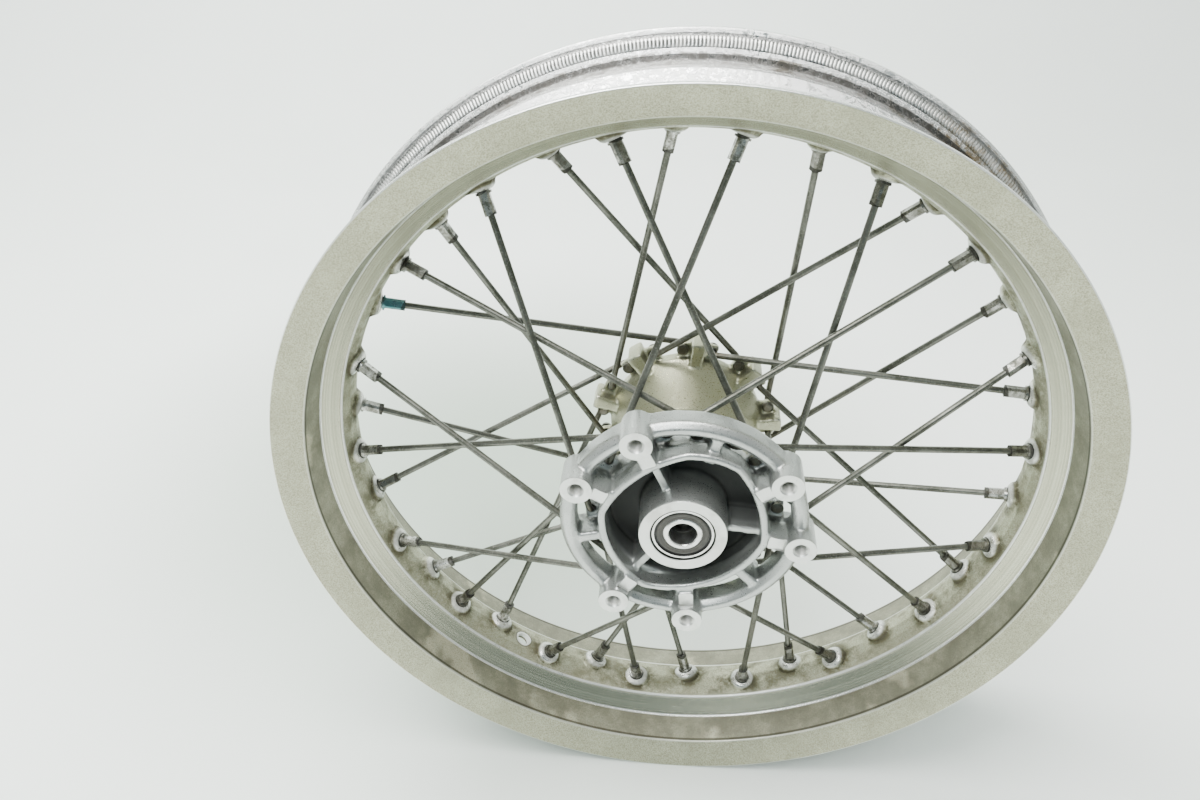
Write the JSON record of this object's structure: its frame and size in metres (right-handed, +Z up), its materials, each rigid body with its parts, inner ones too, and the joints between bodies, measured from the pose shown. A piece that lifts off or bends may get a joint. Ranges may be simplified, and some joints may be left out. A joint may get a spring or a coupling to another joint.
{
  "type": "spoked motorcycle wheel",
  "caption": "Spoked motorcycle wheel with an alloy rim, a cast hub with a disc brake mount, laced wire spokes and sealed ball bearings.",
  "frame": {"origin": "centre of the axle's bore, in the middle of the rim's width", "axes": "+Y along the axle, away from the brake disc's side; +Z up with the wheel standing; +X to the right seen from the disc's side"},
  "size_m": [0.4646, 0.126, 0.4646],
  "materials": {
    "rim_alloy": "weathered satin aluminium",
    "hub_casting": "silver coated casting with machined faces",
    "spoke_steel": "dull grey wire",
    "nipple_plate": "worn nickel plate",
    "bearing_steel": "ground steel",
    "cage_steel": "pressed steel",
    "spacer_steel": "plain steel tube",
    "seal_rubber": "matt dark brown rubber"
  },
  "bodies": {
    "axle_fixed": {"far_bearing_inner_race": "bearing_steel", "near_bearing_inner_race": "bearing_steel", "spacer_tube": "spacer_steel"},
    "wheel": {"far_bearing_outer_race": "bearing_steel", "far_bearing_seals": "seal_rubber", "hub": "hub_casting", "near_bearing_outer_race": "bearing_steel", "near_bearing_seals": "seal_rubber", "nipples_far_inner": "nipple_plate", "nipples_far_outer": "nipple_plate", "nipples_near_inner": "nipple_plate", "nipples_near_outer": "nipple_plate", "rim": "rim_alloy", "spoke_far_inner_1": "spoke_steel", "spoke_far_inner_2": "spoke_steel", "spoke_far_inner_3": "spoke_steel", "spoke_far_inner_4": "spoke_steel", "spoke_far_inner_5": "spoke_steel", "spoke_far_inner_6": "spoke_steel", "spoke_far_inner_7": "spoke_steel", "spoke_far_inner_8": "spoke_steel", "spoke_far_inner_9": "spoke_steel", "spoke_far_outer_1": "spoke_steel", "spoke_far_outer_2": "spoke_steel", "spoke_far_outer_3": "spoke_steel", "spoke_far_outer_4": "spoke_steel", "spoke_far_outer_5": "spoke_steel", "spoke_far_outer_6": "spoke_steel", "spoke_far_outer_7": "spoke_steel", "spoke_far_outer_8": "spoke_steel", "spoke_far_outer_9": "spoke_steel", "spoke_near_inner_1": "spoke_steel", "spoke_near_inner_2": "spoke_steel", "spoke_near_inner_3": "spoke_steel", "spoke_near_inner_4": "spoke_steel", "spoke_near_inner_5": "spoke_steel", "spoke_near_inner_6": "spoke_steel", "spoke_near_inner_7": "spoke_steel", "spoke_near_inner_8": "spoke_steel", "spoke_near_inner_9": "spoke_steel", "spoke_near_outer_1": "spoke_steel", "spoke_near_outer_2": "spoke_steel", "spoke_near_outer_3": "spoke_steel", "spoke_near_outer_4": "spoke_steel", "spoke_near_outer_5": "spoke_steel", "spoke_near_outer_6": "spoke_steel", "spoke_near_outer_7": "spoke_steel", "spoke_near_outer_8": "spoke_steel", "spoke_near_outer_9": "spoke_steel"},
    "ball_cages": {"far_bearing_balls": "bearing_steel", "far_bearing_cage": "cage_steel", "near_bearing_balls": "bearing_steel", "near_bearing_cage": "cage_steel"}
  },
  "joints": [
    {"name": "wheel_spin", "type": "hinge", "parent": "axle_fixed", "child": "wheel", "pos_m": [0, 0, 0], "axis": [0, 1, 0], "continuous": true},
    {"name": "cage_spin", "type": "hinge", "parent": "axle_fixed", "child": "ball_cages", "pos_m": [0, 0, 0], "axis": [0, 1, 0], "continuous": true}
  ],
  "couplings": [
    {"joint": "cage_spin", "follows": "wheel_spin", "ratio": 0.62}
  ]
}
